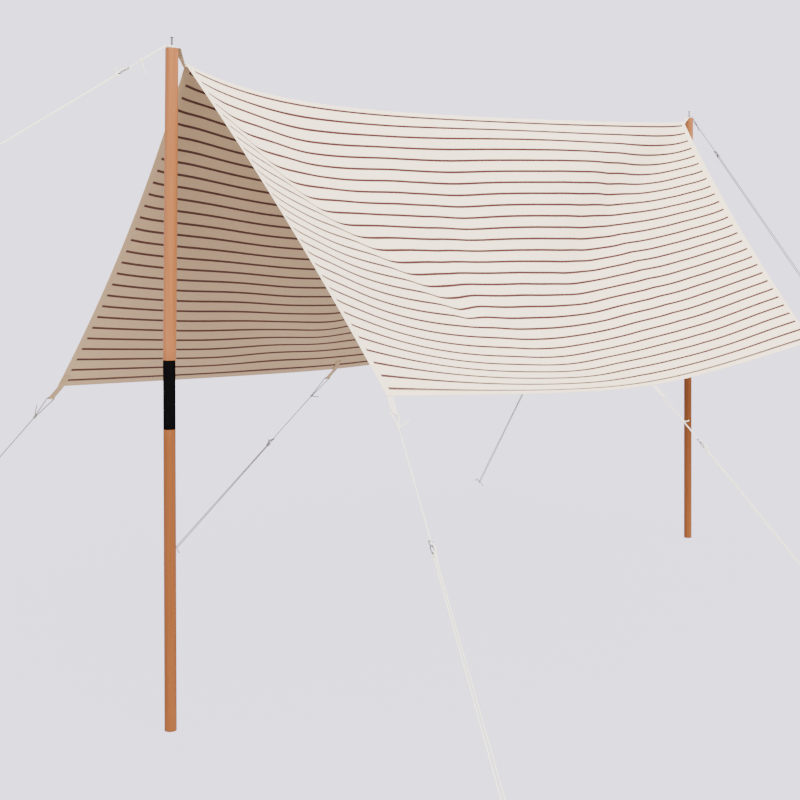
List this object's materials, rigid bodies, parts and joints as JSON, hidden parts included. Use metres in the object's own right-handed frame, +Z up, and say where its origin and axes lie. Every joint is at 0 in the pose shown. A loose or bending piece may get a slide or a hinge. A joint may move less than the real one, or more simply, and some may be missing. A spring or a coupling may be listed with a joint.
{
  "type": "market canopy",
  "caption": "Two-pole market canopy: a striped canvas sheet pitched over wooden poles and held by straps, guy cords, tensioners and ground pegs.",
  "frame": {"origin": "centre of the front pole's foot, on the ground", "axes": "+X along the ridge towards the rear pole, -Y the near side, +Y the far side, +Z up"},
  "size_m": [9.6974, 3.4848, 2.033],
  "materials": {
    "wood": "oiled, fine grain",
    "sleeve": "satin black",
    "steel": "polished",
    "peg_steel": "zinc plated",
    "canvas": "cream cotton canvas with thin dark red stripes",
    "webbing": "cream cotton webbing",
    "cord": "cream braided cord"
  },
  "bodies": {
    "root": {"front_pole_lower": "wood", "front_pole_upper": "wood", "front_pole_sleeve": "sleeve", "front_pole_pin": "steel", "rear_pole_lower": "wood", "rear_pole_upper": "wood", "rear_pole_sleeve": "sleeve", "rear_pole_pin": "steel", "canopy_sheet": "canvas", "front_ridge_strap": "webbing", "front_ridge_guy": "cord", "front_ridge_tensioner": "steel", "front_ridge_peg": "peg_steel", "rear_ridge_strap": "webbing", "rear_ridge_guy": "cord", "rear_ridge_tensioner": "steel", "rear_ridge_peg": "peg_steel", "near_front_strap": "webbing", "near_front_guy": "cord", "near_front_tensioner": "steel", "near_front_peg": "peg_steel", "near_middle_strap": "webbing", "near_middle_guy": "cord", "near_middle_tensioner": "steel", "near_middle_peg": "peg_steel", "near_rear_strap": "webbing", "near_rear_guy": "cord", "near_rear_tensioner": "steel", "near_rear_peg": "peg_steel", "far_front_strap": "webbing", "far_front_guy": "cord", "far_front_tensioner": "steel", "far_front_peg": "peg_steel", "far_middle_strap": "webbing", "far_middle_guy": "cord", "far_middle_tensioner": "steel", "far_middle_peg": "peg_steel", "far_rear_strap": "webbing", "far_rear_guy": "cord", "far_rear_tensioner": "steel", "far_rear_peg": "peg_steel"}
  },
  "joints": []
}
